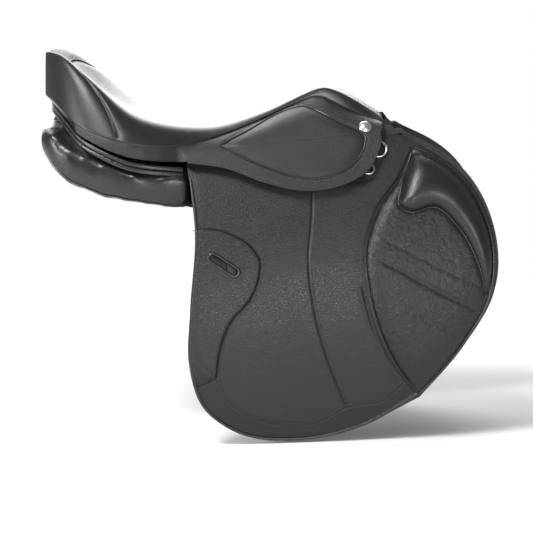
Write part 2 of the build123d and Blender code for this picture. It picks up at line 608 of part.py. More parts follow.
def main():
    make_seat()
    make_tree()
    make_springs()
    make_head()
    make_webs()
    make_lining()
    make_panels()
    make_skirt_tops()
    make_nails()
    make_flaps()
    make_skirts()
    make_stirrup_bars()
    make_rings()
    make_girth_straps()
    make_welts()
    make_cantle_cover()
    make_facing()
    os.makedirs("parts", exist_ok=True)
    for name, shape in parts.items():
        export_step(shape, f"parts/{name}.step")


main()
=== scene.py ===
# %% [markdown]
# # An English jumping saddle in black leather
# A saddle is a hard tree inside, foam and leather over it, and loose leathers that hang at the sides. The tree,
# bars, rings and straps come from the CAD model. Every leather and pad that is seen is made here, around them.

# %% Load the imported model
import json
import math

import bmesh
import bpy
import numpy as np
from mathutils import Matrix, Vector
from mathutils.geometry import delaunay_2d_cdt
from mathutils.kdtree import KDTree


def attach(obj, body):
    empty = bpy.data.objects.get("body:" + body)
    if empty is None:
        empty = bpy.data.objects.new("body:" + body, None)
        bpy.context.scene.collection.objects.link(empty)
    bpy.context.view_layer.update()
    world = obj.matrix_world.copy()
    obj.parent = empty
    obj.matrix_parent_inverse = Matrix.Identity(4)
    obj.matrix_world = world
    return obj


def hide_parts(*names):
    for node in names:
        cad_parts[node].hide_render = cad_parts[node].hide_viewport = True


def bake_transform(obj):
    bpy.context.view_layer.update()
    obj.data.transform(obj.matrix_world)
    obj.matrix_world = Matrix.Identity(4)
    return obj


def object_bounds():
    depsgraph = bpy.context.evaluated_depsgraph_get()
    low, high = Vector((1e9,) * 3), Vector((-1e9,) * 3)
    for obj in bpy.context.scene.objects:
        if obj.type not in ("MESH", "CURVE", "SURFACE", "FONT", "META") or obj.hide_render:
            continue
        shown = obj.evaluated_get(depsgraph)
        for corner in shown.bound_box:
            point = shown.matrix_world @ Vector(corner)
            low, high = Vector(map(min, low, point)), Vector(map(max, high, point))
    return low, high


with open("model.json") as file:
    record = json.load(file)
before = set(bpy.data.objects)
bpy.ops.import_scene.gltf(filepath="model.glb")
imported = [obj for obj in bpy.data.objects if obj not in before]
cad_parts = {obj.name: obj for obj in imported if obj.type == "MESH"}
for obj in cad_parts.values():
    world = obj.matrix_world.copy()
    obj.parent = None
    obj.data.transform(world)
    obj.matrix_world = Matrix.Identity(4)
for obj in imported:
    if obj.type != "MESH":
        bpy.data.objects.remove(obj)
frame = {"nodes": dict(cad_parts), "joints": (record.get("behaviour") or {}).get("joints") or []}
cad_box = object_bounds()
nodes = frame["nodes"]

# %% [markdown]
# ## Camera, light and floor
# The camera stands level with the flap and looks across the saddle. Black leather is mostly seen by what it
# reflects, so the light comes from large soft lamps, and the floor and the sky behind are white.

# %% Camera
TARGET = Vector((0.048, 0.0, -0.129))
ELEVATION, DISTANCE, LENS = math.radians(9), 3.0, 145.8
back = Vector((0, -math.cos(ELEVATION), math.sin(ELEVATION)))
camera = bpy.data.objects.new("camera", bpy.data.cameras.new("camera"))
bpy.context.scene.collection.objects.link(camera)
camera.location = TARGET + back * DISTANCE
camera.rotation_euler = (-back).to_track_quat("-Z", "Y").to_euler()
camera.data.lens, camera.data.sensor_width = LENS, 36
bpy.context.scene.camera = camera
bpy.context.scene.view_settings.view_transform = "Standard"


# %% Lamps
def lamp(name, place, size, power):
    """A square soft lamp that looks at the saddle."""
    made = bpy.data.objects.new(name, bpy.data.lights.new(name, "AREA"))
    bpy.context.scene.collection.objects.link(made)
    made.location = place
    made.rotation_euler = (TARGET - made.location).to_track_quat("-Z", "Y").to_euler()
    made.data.size, made.data.energy = size, power


lamp("key", (-0.9, -1.2, 1.9), 0.8, 60)
lamp("front", (0.62, -2.2, 0.1), 0.5, 14)
lamp("side", (-2.0, -1.2, 0.4), 0.7, 30)
lamp("back", (-0.3, 2.2, 1.1), 2.1, 62)


# %% Nodes and colours
def srgb(code):
    """Linear colour from a hex value."""
    channels = [int(code[i:i + 2], 16) / 255 for i in (1, 3, 5)]
    return [c / 12.92 if c <= 0.04045 else ((c + 0.055) / 1.055) ** 2.4 for c in channels] + [1.0]


def node(tree, kind, settings=(), links=()):
    """Adds a node. A setting is one of its inputs, by name or number, or else a property."""
    made = tree.nodes.new(kind)
    for name, value in dict(settings).items():
        if isinstance(name, int) or name in made.inputs:
            made.inputs[name].default_value = value
        else:
            setattr(made, name, value)
    for name, socket in dict(links).items():
        tree.links.new(socket, made.inputs[name])
    return made


def new_material(name):
    made = bpy.data.materials.new(name)
    made.use_nodes = True
    made.node_tree.nodes.clear()
    return made, made.node_tree


def placed(tree, squeeze):
    """Coordinates of the piece, plain and squeezed."""
    place = node(tree, "ShaderNodeTexCoord").outputs["Object"]
    return place, node(tree, "ShaderNodeMapping", {"Scale": squeeze}, {"Vector": place}).outputs[0]


def noise(tree, size, where, **settings):
    """A noise pattern with features of that size in millimetres."""
    settings = {name.replace("_", " "): value for name, value in settings.items()}
    return node(tree, "ShaderNodeTexNoise", {"Scale": 1000 / size, **settings}, {"Vector": where})


def between(tree, colours, mix):
    """A mix of two sRGB colours."""
    return node(tree, "ShaderNodeMix", {"data_type": "RGBA", 6: srgb(colours[0]), 7: srgb(colours[1])}, {0: mix})


def bumped(tree, height, depth, strength, over=None):
    """The normal of a pattern that is depth millimetres high, over another normal."""
    links = {"Height": height, "Normal": over} if over else {"Height": height}
    return node(tree, "ShaderNodeBump", {"Distance": 0.001 * depth, "Strength": strength}, links).outputs[0]


def surface(tree, settings, colour, rough, normal):
    """The shader and the output. rough is a socket, or a number."""
    links = {"Base Color": colour.outputs[2], "Normal": normal}
    if isinstance(rough, float):
        settings = {**settings, "Roughness": rough}
    else:
        links["Roughness"] = rough.outputs[0]
    skin = node(tree, "ShaderNodeBsdfPrincipled", settings, links)
    node(tree, "ShaderNodeOutputMaterial", links={"Surface": skin.outputs[0]})


# %% World and floor
world = bpy.data.worlds.new("white_studio")
bpy.context.scene.world = world
world.use_nodes = True
world.node_tree.nodes.clear()
path = node(world.node_tree, "ShaderNodeLightPath")
seen = node(world.node_tree, "ShaderNodeMath", {"operation": "MAXIMUM"},
            {0: path.outputs["Is Camera Ray"], 1: path.outputs["Is Transmission Ray"]})
strength = node(world.node_tree, "ShaderNodeMapRange", {3: 0.3, 4: 1.0}, {0: seen.outputs[0]})
sky = node(world.node_tree, "ShaderNodeBackground", {"Color": (1, 1, 1, 1)}, {"Strength": strength.outputs[0]})
node(world.node_tree, "ShaderNodeOutputWorld", links={"Surface": sky.outputs[0]})

FLOOR_SIZE, FLOOR_GAP = 24, 0.003   # metres, and how far the floor lies under the lowest point
FLOOR_NEAR, FLOOR_FAR = 0.5, 1.4    # metres from the saddle where the floor fades to the white behind
lowest = cad_box[0].z
bpy.ops.mesh.primitive_plane_add(size=FLOOR_SIZE, location=(TARGET.x, 0, lowest - FLOOR_GAP))
floor = bpy.context.object
floor.name = "floor"
bpy.ops.object.transform_apply(location=True)
paper, tree = new_material("white_paper_floor")
place = node(tree, "ShaderNodeTexCoord")
apart = node(tree, "ShaderNodeVectorMath", {"operation": "DISTANCE", 1: (TARGET.x, 0, lowest)},
             {0: place.outputs["Object"]})
fade = node(tree, "ShaderNodeMapRange", {1: FLOOR_NEAR, 2: FLOOR_FAR, "interpolation_type": "SMOOTHSTEP"},
            {0: apart.outputs["Value"]})
matt = node(tree, "ShaderNodeBsdfDiffuse", {"Color": srgb("#f6f6f6")})
glow = node(tree, "ShaderNodeEmission", {"Color": (1, 1, 1, 1), "Strength": 1.0})
path = node(tree, "ShaderNodeLightPath")
seen = node(tree, "ShaderNodeMath", {"operation": "MULTIPLY"},
            {0: fade.outputs[0], 1: path.outputs["Is Camera Ray"]})
mixed = node(tree, "ShaderNodeMixShader", links={0: seen.outputs[0], 1: matt.outputs[0], 2: glow.outputs[0]})
node(tree, "ShaderNodeOutputMaterial", links={"Surface": mixed.outputs[0]})
floor.data.materials.append(paper)
print("floor at", round(lowest - FLOOR_GAP, 4))

# %% [markdown]
# ## Leather, metal, wood and web
# The leathers are cowhide, dyed black and finished. Each differs by its grain: pebbled on the flap, tighter on
# the seat, smooth and glossy on the panels. A grain is cells with fine creases between them, so a Voronoi
# pattern gives it, and noise bends it so that no two cells match. The hollows are matt and the tops shine.


# %% Leather
CLOUD_SIZE = 38      # millimetres across a patch of darker or lighter dye


def leather(name, colour, rough, grain, depth, folds=0.0, fold_size=25.0, squeeze=(1, 1, 1), coat=0.0):
    """grain and fold_size are in millimetres, depth and folds are heights in millimetres."""
    made, tree = new_material(name)
    place, where = placed(tree, squeeze)
    drift = noise(tree, 3 * grain, where, Detail=2.0)
    bent = node(tree, "ShaderNodeVectorMath", {"operation": "MULTIPLY_ADD", 1: (0.0011 * grain,) * 3},
                {0: drift.outputs["Color"], 2: where})
    cells = node(tree, "ShaderNodeTexVoronoi", {"Scale": 1000 / grain, "feature": "DISTANCE_TO_EDGE"},
                 {"Vector": bent.outputs[0]})
    tops = node(tree, "ShaderNodeMapRange", {1: 0.0, 2: 0.22, "interpolation_type": "SMOOTHSTEP"},
                {0: cells.outputs["Distance"]})
    pores = noise(tree, 0.4 * grain, where, Detail=3.0)
    cloud = noise(tree, CLOUD_SIZE, place, Detail=3.0, Roughness=0.55)
    dark = between(tree, colour, cloud.outputs["Fac"])
    # Convex edges, found by pointiness, are mixed towards a lighter grey: partly edge wear, partly a painted
    # highlight of light catching the rounded cut edges.
    edges = node(tree, "ShaderNodeNewGeometry")
    worn_and_highlit_edges = node(tree, "ShaderNodeMapRange", {1: 0.56, 2: 0.72, 4: 0.45}, {0: edges.outputs["Pointiness"]})
    shade = node(tree, "ShaderNodeMix", {"data_type": "RGBA", 7: srgb("#5a5d61")},
                 {0: worn_and_highlit_edges.outputs[0], 6: dark.outputs[2]})
    matt = node(tree, "ShaderNodeMapRange", {3: rough + 0.08, 4: rough - 0.04}, {0: tops.outputs[0]})
    patchy = node(tree, "ShaderNodeMath", {"operation": "MULTIPLY_ADD", 1: 0.12},
                  {0: cloud.outputs["Fac"], 2: matt.outputs[0]})
    fine = bumped(tree, pores.outputs["Fac"], depth * 0.4, 0.6)
    normal = bumped(tree, tops.outputs[0], depth, 0.8, fine)
    if folds:
        crease = noise(tree, fold_size, where, Detail=2.0, Distortion=0.6)
        normal = bumped(tree, crease.outputs["Fac"], folds, 1.0, normal)
    surface(tree, {"IOR": 1.5, "Coat Weight": coat, "Coat Roughness": 0.3}, shade, patchy, normal)
    return made


# Real grain is about 1 mm across. It is drawn nearly twice as wide, because at a metre and more it wouldn't show.
flap_leather = leather("pebbled_flap_leather", ("#101215", "#181b1e"), 0.33, 1.9, 0.16, folds=0.5, fold_size=14,
                       squeeze=(0.45, 1, 1))
skirt_leather = leather("pebbled_skirt_leather", ("#121417", "#1a1d20"), 0.36, 2.1, 0.20)
seat_leather = leather("fine_seat_leather", ("#111316", "#191c1f"), 0.30, 1.6, 0.05, folds=0.12, fold_size=30)
pad_leather = leather("soft_knee_pad_leather", ("#101215", "#181a1d"), 0.33, 2.0, 0.14, folds=1.5, fold_size=9)
roll_leather = leather("smooth_knee_roll_leather", ("#101214", "#17191c"), 0.27, 1.8, 0.08, folds=0.4,
                       fold_size=22, coat=0.1)
panel_leather = leather("glossy_panel_leather", ("#0d0e10", "#141618"), 0.22, 1.7, 0.07, folds=0.6, fold_size=24,
                        coat=0.2)
border_leather = leather("dark_border_leather", ("#0d0c0c", "#141312"), 0.32, 1.5, 0.08)
rolled_leather = leather("rolled_welt_leather", ("#101214", "#191b1d"), 0.20, 1.5, 0.04, coat=0.3)
strap_leather = leather("firm_strap_leather", ("#131416", "#1b1d1f"), 0.34, 1.4, 0.08)


# %% Metal, wood, web, foam and thread
def metal(name, colour, rough, scratch):
    """scratch is the width in millimetres of the polishing marks."""
    made, tree = new_material(name)
    marks = noise(tree, 6 * scratch, placed(tree, (1, 1, 8))[1], Detail=4.0)
    spread = node(tree, "ShaderNodeMapRange", {3: rough - 0.06, 4: rough + 0.12}, {0: marks.outputs["Fac"]})
    tint = between(tree, colour, marks.outputs["Fac"])
    surface(tree, {"Metallic": 1.0}, tint, spread, bumped(tree, marks.outputs["Fac"], 0.04, 0.5))
    return made


def fibre(name, colour, rough, size, depth, squeeze):
    """Wood, web or foam: streaks or cells of that size in millimetres."""
    made, tree = new_material(name)
    streaks = noise(tree, 2 * size, placed(tree, squeeze)[1], Detail=4.0)
    tint = between(tree, colour, streaks.outputs["Fac"])
    surface(tree, {}, tint, rough, bumped(tree, streaks.outputs["Fac"], depth, 0.8))
    return made


nickel = metal("polished_nickel_plate", ("#c9c7c2", "#dad8d3"), 0.28, 0.5)
forged = metal("forged_bar_steel", ("#8b8d8f", "#9c9ea0"), 0.34, 1.2)
spring = metal("blued_spring_steel", ("#50565e", "#6a7077"), 0.36, 1.5)
beech = fibre("laminated_beech_tree", ("#a9825a", "#c9a277"), 0.55, 1.2, 0.15, (0.12, 1, 1))
foam = fibre("cut_latex_foam", ("#c8bfa4", "#ddd5bd"), 0.9, 1.0, 0.3, (1, 1, 1))
webbing = fibre("woven_jute_webbing", ("#7c6a4e", "#9b8763"), 0.85, 0.8, 0.25, (0.4, 1, 1))
thread = fibre("waxed_black_thread", ("#26282b", "#3a3d40"), 0.5, 0.3, 0.05, (1, 1, 1))
print(len(bpy.data.materials), "materials")

# %% [markdown]
# ## The leather that hangs at the side, laid flat
# A flap is cut flat and then bends round the horse in one direction only. So each side leather is drawn flat
# here, in a pattern frame: along the line it folds on, up, and outwards from its face. At the end every point
# is rolled onto the cylinder that the flap follows. The frame comes from the CAD model's own fold joint.

# %% The pattern frame
RADIUS, SPLAY = 480.0, math.radians(32)
lift = next(j for j in frame["joints"] if j["name"] == "right_flap_lift")
along = -Vector(lift["axis"]).normalized()
out = Vector((along.y, -along.x, 0)).normalized()
up = out.cross(along)
AXES = np.array([along, out, up])
PIVOT_ALONG, PIVOT_OUT = 130.0, 14.0   # where the fold joint's point lies in the frame
ORIGIN = np.array(lift["pos_m"]) * 1000 - PIVOT_ALONG * AXES[0] - PIVOT_OUT * (
    math.cos(SPLAY) * AXES[1] + math.sin(SPLAY) * AXES[2])


def to_world(points):
    """From the pattern (along, up, out) in millimetres to the saddle in metres."""
    p = np.array(points, float)
    angle, radius = SPLAY + p[:, 1] / RADIUS, RADIUS + p[:, 2]
    outward = radius * np.cos(angle) - RADIUS * math.cos(SPLAY)
    height = radius * np.sin(angle) - RADIUS * math.sin(SPLAY)
    return (ORIGIN + np.stack([p[:, 0], outward, height], 1) @ AXES) / 1000


def to_pattern(points):
    """The other way round."""
    p = (np.array(points, float) * 1000 - ORIGIN) @ AXES.T
    a, b = p[:, 1] + RADIUS * math.cos(SPLAY), p[:, 2] + RADIUS * math.sin(SPLAY)
    return np.stack([p[:, 0], RADIUS * (np.arctan2(b, a) - SPLAY), np.hypot(a, b) - RADIUS], 1)


def drawn(points, offset=0.0):
    """Flat pattern points from the side view of the flap, where heights are seen foreshortened."""
    p = np.array(points, float)
    angle = np.arcsin((p[:, 1] + RADIUS * math.sin(SPLAY)) / (RADIUS + offset))
    return np.stack([p[:, 0], RADIUS * (angle - SPLAY)], 1)


print("pattern frame runs along", [round(x, 4) for x in along])


# %% Lines
def curve(points, step=3.0):
    """A smooth line through the points, in steps of about that many millimetres."""
    p = np.array(points, float)
    t = np.concatenate([[0], np.cumsum(np.linalg.norm(np.diff(p, axis=0), axis=1))])
    gap = np.diff(t)
    slope = np.diff(p, axis=0) / gap[:, None]
    share = (gap[1:] / (gap[1:] + gap[:-1]))[:, None]
    tangent = np.vstack([slope[:1], slope[:-1] * share + slope[1:] * (1 - share), slope[-1:]])
    s = np.linspace(0, t[-1], max(2, int(round(t[-1] / step)) + 1))
    i = np.clip(np.searchsorted(t, s, "right") - 1, 0, len(gap) - 1)
    w, g = ((s - t[i]) / gap[i])[:, None], gap[i][:, None]
    return ((2 * w**3 - 3 * w**2 + 1) * p[i] + (w**3 - 2 * w**2 + w) * g * tangent[i]
            + (3 * w**2 - 2 * w**3) * p[i + 1] + (w**3 - w**2) * g * tangent[i + 1])


def joined(*runs):
    """Several runs, end to end, as one closed outline."""
    points = [p for run in runs for p in run]
    kept = [points[0]]
    for p in points[1:]:
        if np.linalg.norm(p - kept[-1]) > 0.4:
            kept.append(p)
    if np.linalg.norm(kept[0] - kept[-1]) < 0.4:
        kept.pop()
    return np.array(kept)


def closed(loop):
    """A closed outline as a line that ends where it starts."""
    return np.vstack([loop, loop[:1]])


def distance_to(points, line):
    """Distance in millimetres from each point to a line."""
    fine = curve(line, 0.8) if len(line) > 1 else np.array(line)
    tree = KDTree(len(fine))
    for i, p in enumerate(fine):
        tree.insert((*p[:2], 0), i)
    tree.balance()
    return np.array([tree.find((x, y, 0))[2] for x, y in points[:, :2]])


def inside(points, outline):
    """Which points lie inside a closed outline."""
    x, y = points[:, 0], points[:, 1]
    found = np.zeros(len(points), bool)
    for (x1, y1), (x2, y2) in zip(outline, np.roll(outline, -1, axis=0)):
        if y1 != y2:
            found ^= ((y1 > y) != (y2 > y)) & (x < (x2 - x1) * (y - y1) / (y2 - y1) + x1)
    return found


def ease(distance, width):
    """0 at the line to 1 from width on, rounded at both ends."""
    t = np.clip(distance / width, 0, 1)
    return t * t * (3 - 2 * t)


# %% Objects
def choose(*objects):
    bpy.ops.object.select_all(action="DESELECT")
    for o in objects:
        o.select_set(True)
    bpy.context.view_layer.objects.active = objects[0]


def modify(piece, kind, **settings):
    """Adds a modifier and applies it."""
    choose(piece)
    made = piece.modifiers.new(kind.lower(), kind)
    for name, value in settings.items():
        setattr(made, name, value)
    bpy.ops.object.modifier_apply(modifier=made.name)
    return piece


def edit(piece, step, **settings):
    """Runs one edit-mode operator on the whole of a piece."""
    choose(piece)
    bpy.ops.object.mode_set(mode="EDIT")
    bpy.ops.mesh.select_all(action="SELECT")
    step(**settings)
    bpy.ops.object.mode_set(mode="OBJECT")


def smooth_shade(piece, angle=50):
    choose(piece)
    bpy.ops.object.shade_smooth_by_angle(angle=math.radians(angle))
    return piece


def mesh_object(name, points, faces, materials, kinds=None):
    mesh = bpy.data.meshes.new(name)
    mesh.from_pydata([tuple(p) for p in points], [], faces)
    for m in materials:
        mesh.materials.append(m)
    if kinds is not None:
        mesh.polygons.foreach_set("material_index", np.array(kinds, np.int32))
    made = bpy.data.objects.new(name, mesh)
    bpy.context.scene.collection.objects.link(made)
    return smooth_shade(made)


RIM_ANGLE = math.radians(55)     # an edge that turns more than this is rounded as a cut rim


def both_sides(name, points, faces, materials, kinds=None, flat=True, rim=0.0):
    """A right-hand piece and its mirror image. rim is how far its cut edges are rounded, in millimetres."""
    world_points, made = to_world(points) if flat else np.array(points) / 1000, {}
    for side, sign in (("right", 1), ("left", -1)):
        turned = faces if sign == 1 else [f[::-1] for f in faces]
        made[side] = mesh_object(f"{side}_{name}", world_points * (1, sign, 1), turned, materials, kinds)
        if rim:
            modify(made[side], "BEVEL", width=rim / 1000, segments=2, limit_method="ANGLE", angle_limit=RIM_ANGLE)
            smooth_shade(made[side])
    return made


SIDES = ("right", "left")


# %% A leather or pad cut from a pattern
def cut(outline, step=4.0, seams=(), holes=()):
    """Flat points and triangles inside an outline. The points crowd round the seams."""
    low, high = outline.min(0), outline.max(0)
    xs, ys = np.arange(low[0], high[0], step), np.arange(low[1], high[1], step * 0.87)
    grid = np.array([(x + (step / 2 if j % 2 else 0), y) for j, y in enumerate(ys) for x in xs])
    grid = grid[inside(grid, outline)]
    extra = []
    for seam in seams:
        fine = curve(seam, 2.2)
        normal = np.gradient(fine, axis=0)[:, ::-1] * (-1, 1)
        normal /= np.linalg.norm(normal, axis=1)[:, None]
        extra += [fine + normal * d for d in (-4.5, -2.4, -1.2, 0, 1.2, 2.4, 4.5)]
        grid = grid[distance_to(grid, seam) > 5.5]
    loops = [outline, *holes]
    points = np.vstack([*loops, grid, *extra])
    for loop in loops:
        near = distance_to(points, closed(loop)) < 1.1
        near[:sum(len(x) for x in loops)] = False
        points = points[~near]
    edges, start = [], 0
    for loop in loops:
        n = len(loop)
        edges += [(start + i, start + (i + 1) % n) for i in range(n)]
        start += n
    verts, _, faces, *_ = delaunay_2d_cdt([Vector(p) for p in points], edges, [], 0, 1e-6)
    verts = np.array([tuple(v) for v in verts])
    centres = np.array([verts[list(f)].mean(0) for f in faces])
    keep = inside(centres, outline)
    for hole in holes:
        keep &= ~inside(centres, hole)
    faces = [tuple(f) for f, k in zip(faces, keep) if k]
    used = sorted({i for f in faces for i in f})
    number = {old: new for new, old in enumerate(used)}
    verts = verts[used]
    a = np.array([[number[i] for i in f] for f in faces])
    turn = np.cross(verts[a[:, 1]] - verts[a[:, 0]], verts[a[:, 2]] - verts[a[:, 0]]) < 0
    a[turn] = a[turn][:, ::-1]
    return verts, [tuple(int(i) for i in f) for f in a]


def slab(flat, faces, top, bottom):
    """A closed body between two faces over a cut: top and bottom are heights, in millimetres."""
    n = len(flat)
    points = np.vstack([np.column_stack([flat, top]), np.column_stack([flat, bottom])])
    sides = {(f[i], f[(i + 1) % 3]) for f in faces for i in range(3)}
    walls = [(a, a + n, b + n, b) for a, b in sides if (b, a) not in sides]
    return points, faces + [tuple(i + n for i in f[::-1]) for f in faces] + sorted(walls)


# %% Piping and stitches
def tube(line, radius, closed=False, around=8, flatten=1.0):
    """Points and faces of a round welt along a line of 3-D points. flatten squeezes it in its third direction."""
    line = np.array(line, float)
    n = len(line)
    ahead = np.roll(line, -1, 0) - np.roll(line, 1, 0) if closed else np.gradient(line, axis=0)
    ahead /= np.linalg.norm(ahead, axis=1)[:, None] + 1e-12
    side = np.cross(ahead, (0.0, 0.0, 1.0))
    side /= np.linalg.norm(side, axis=1)[:, None] + 1e-9
    rise = np.cross(side, ahead)
    turn = np.arange(around) * 2 * math.pi / around
    ring = (np.cos(turn)[None, :, None] * side[:, None] + flatten * np.sin(turn)[None, :, None] * rise[:, None])
    points = (line[:, None] + radius * ring).reshape(-1, 3)
    last = n if closed else n - 1
    faces = [(i * around + k, i * around + (k + 1) % around, (i + 1) % n * around + (k + 1) % around,
              (i + 1) % n * around + k) for i in range(last) for k in range(around)]
    if not closed:
        faces += [tuple(range(around))[::-1], tuple(range((n - 1) * around, n * around))]
    return points, faces


def stitches(line, length=3.0, gap=1.2, radius=0.45):
    """Separate stitches along a line of 3-D points."""
    fine = curve(line, 0.5)
    pitch, points, faces = int((length + gap) / 0.5), [], []
    ends = (0.25, 1.0, 1.0, 0.25)
    for start in range(0, len(fine) - pitch, pitch):
        run = fine[[start, start + 1, start + int(length / 0.5) - 1, start + int(length / 0.5)]]
        p, f = tube(run, radius, around=6)
        p = p.reshape(4, 6, 3)
        p = run[:, None] + (p - run[:, None]) * np.array(ends)[:, None, None]
        faces += [tuple(i + 24 * len(points) for i in face) for face in f]
        points.append(p.reshape(-1, 3))
    return np.vstack(points), faces


def together(*bodies):
    """Several points-and-faces bodies as one."""
    points, faces, n = [], [], 0
    for p, f in bodies:
        faces += [tuple(i + n for i in face) for face in f]
        points.append(p)
        n += len(p)
    return np.vstack(points), faces


def raised(line, height):
    """A flat line lifted to a height, which is a number or a function of its points."""
    line = np.array(line, float)
    z = height(line) if callable(height) else np.full(len(line), float(height))
    return np.column_stack([line, z])


# %% [markdown]
# ## The flap
# The flap is two leathers. The base is the whole outline, with the knee pad sewn to its front. The overlay is
# a second skin that ends along the pad. Strips and a patch are sewn on it, so its face has small steps of a
# millimetre with a groove and a row of stitches beside each, and these are pressed into its mesh.

# %% Outlines of the flap, in the side view
TAIL = [(-3, 0), (-6, -95), (-26, -191), (-36, -262), (-25, -320), (21, -366), (101, -387), (184, -380),
        (267, -350)]
NOSE = [(267, -350), (335, -283), (381, -216), (390, -150), (363, -63), (318, -20), (284, 4), (270, 26)]
FRONT_SEAM = [(264, -346), (247, -322), (222, -265), (210, -192), (213, -140), (238, -88), (275, -51),
              (299, -17)]
TOP = 24.0                       # how far the flap runs up under the skirt
OVERLAY, BASE, BASE_FACE = 2.5, 3.7, -2.8
PAD_FACE = -2.3

tail, nose = curve(drawn(TAIL)), curve(drawn(NOSE))
front_seam = curve(drawn(FRONT_SEAM))
nose = nose[nose[:, 1] < TOP]
base_outline = joined(tail, nose, [np.array((nose[-1][0], TOP)), np.array((-3.0, TOP))])
tail_over = curve(drawn(TAIL[:-1] + [(264, -346)]))
overlay_outline = joined(tail_over, front_seam, curve([front_seam[-1], (284, 2), (274, TOP)]),
                         [np.array((-3.0, TOP))])
slot_centre, slot_way = np.array(drawn([(26, -137)])[0]), np.array((0.755, -0.656))
slot_side = np.array((0.656, 0.755))
SLOT_LENGTH, SLOT_WIDTH = 42.0, 8.0


def slot_loop(grow=0.0):
    """Outline of the keeper's slot, larger by grow all round."""
    r, half = SLOT_WIDTH / 2 + grow, (SLOT_LENGTH - SLOT_WIDTH) / 2
    turn = np.linspace(-math.pi / 2, math.pi / 2, 9)
    right = [slot_centre + slot_way * (half + r * math.cos(t)) + slot_side * r * math.sin(t) for t in turn]
    left = [slot_centre - slot_way * (half + r * math.cos(t)) - slot_side * r * math.sin(t) for t in turn]
    return np.array(right + left)


# %% Seams of the overlay: along the line, and down from it
down = np.array((1, -1))
vertical_seam = np.array([(158, 60), (150, 105), (139, 152), (138, 235), (159, 338), (167, 363)]) * down
border_seam = np.array([(-22, 272), (-4, 297), (15, 338), (61, 370), (124, 379), (167, 363), (220, 359),
                        (246, 338)]) * down
patch_seam = np.array([(-8, 96), (16, 99), (39, 108), (62, 126), (74, 148), (70, 172), (57, 196), (24, 227),
                       (6, 262), (-2, 296)]) * down
cross_seam = np.array([(-30, 306), (-12, 301), (-2, 296)]) * down
ridge = np.array([(200, 205), (206, 245), (217, 282), (235, 330)]) * down
border_below = joined(curve(border_seam), [np.array((300.0, -338.0)), np.array((300.0, -460.0)),
                                           np.array((-80.0, -460.0)), np.array((-80.0, -272.0))])
patch_inside = joined(curve(patch_seam), [np.array((-80.0, -296.0)), np.array((-80.0, -96.0))])
front_strip = joined(curve(vertical_seam), [np.array((167.0, -420.0)), np.array((400.0, -420.0)),
                                            np.array((400.0, -60.0))])


def groove(points, line, depth, width):
    return -depth * np.exp(-(distance_to(points, line) / width) ** 2)


def overlay_face(points):
    """Height of the overlay's face, in millimetres."""
    step = 2.4
    z = np.zeros(len(points))
    z += groove(points, vertical_seam, 1.3, 1.5) + groove(points, border_seam, 1.4, 1.6)
    z += groove(points, patch_seam, 1.6, 1.7) + groove(points, cross_seam, 1.3, 1.5)
    z += 1.4 * inside(points, patch_inside) * ease(distance_to(points, patch_seam), step)
    z += 0.9 * inside(points, front_strip) * ease(distance_to(points, vertical_seam), step)
    z -= 0.7 * inside(points, border_below) * ease(distance_to(points, border_seam), step)
    z += 1.3 * np.exp(-(distance_to(points, ridge) / 3.0) ** 2)
    edge = distance_to(points, closed(overlay_outline))
    return z - 0.6 * (1 - ease(edge, 2.5)) - 0.7 * np.exp(-((edge - 5.5) / 1.2) ** 2)


# %% The overlay
flat, faces = cut(overlay_outline, 4.2, [vertical_seam, border_seam, patch_seam, cross_seam, ridge], [slot_loop()])
face_z = overlay_face(flat)
points, faces = slab(flat, faces, face_z, np.full(len(flat), -OVERLAY))
centres = np.array([points[list(f)].mean(0) for f in faces])
kinds = inside(centres, border_below).astype(int)
overlay = both_sides("flap_leather", points, faces, [flap_leather, border_leather], kinds, rim=0.7)
print("overlay", len(faces), "faces")

# %% The base under it
flat, faces = cut(base_outline, 6.0, [], [slot_loop(0.4)])
edge = distance_to(flat, closed(base_outline))
points, faces = slab(flat, faces, BASE_FACE - 0.5 * (1 - ease(edge, 3)), np.full(len(flat), BASE_FACE - BASE))
base = both_sides("flap_base_leather", points, faces, [border_leather], rim=0.8)


def bend(piece):
    """Bakes the piece's placement into its mesh."""
    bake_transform(piece)


for side in SIDES:
    for piece, replaced in ((overlay[side], "flap_overlay"), (base[side], "flap_base")):
        bend(piece)
        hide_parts(f"{side}_{replaced}")


# %% Sewing on the flap
def shifted(line, by):
    """A line moved sideways."""
    fine = curve(line, 3.0)
    normal = np.gradient(fine, axis=0)[:, ::-1] * (-1, 1)
    return fine + by * normal / np.linalg.norm(normal, axis=1)[:, None]


def sewn(rows, face, lift):
    """Stitches along flat rows, lifted off a face by that many millimetres."""
    return together(*[stitches(raised(curve(row, 2.0), lambda p: face(p) + lift)) for row in rows])


rows = [shifted(vertical_seam, 2.6), shifted(border_seam, 2.8), shifted(border_seam, -2.8),
        shifted(patch_seam, -3.0), shifted(cross_seam, 2.6), shifted(tail_over[tail_over[:, 1] < -60], 5.5),
        shifted(front_seam[front_seam[:, 1] < -40], 4.0), closed(slot_loop(4.2)), closed(slot_loop(7.0))]
sewing = both_sides("flap_stitches", *sewn(rows, overlay_face, 0.25), [thread])
rim = slot_loop(1.9)
edging = [tube(raised(rim, 1.9), 1.9, closed=True, flatten=0.8)]
edging += [tube(raised(shifted(tail_over[tail_over[:, 1] < -30], 2.0), -0.4), 2.3, flatten=0.7)]
binding = both_sides("flap_binding", *together(*edging), [rolled_leather])
for side in SIDES:
    for piece in (sewing, binding):
        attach(piece[side], f"{side}_flap")
    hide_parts(f"{side}_girth_keeper")
print(len(rows), "rows of stitches on the flap")

# %% [markdown]
# ## Knee pad and knee roll
# Under the rider's knee the flap carries a flat foam pad, quilted with slanting lines, and on it a firm roll
# with a deep crease behind. Each is a crowned form over its own outline: steep where it is sewn down hard,
# and gradual towards the nose of the flap.

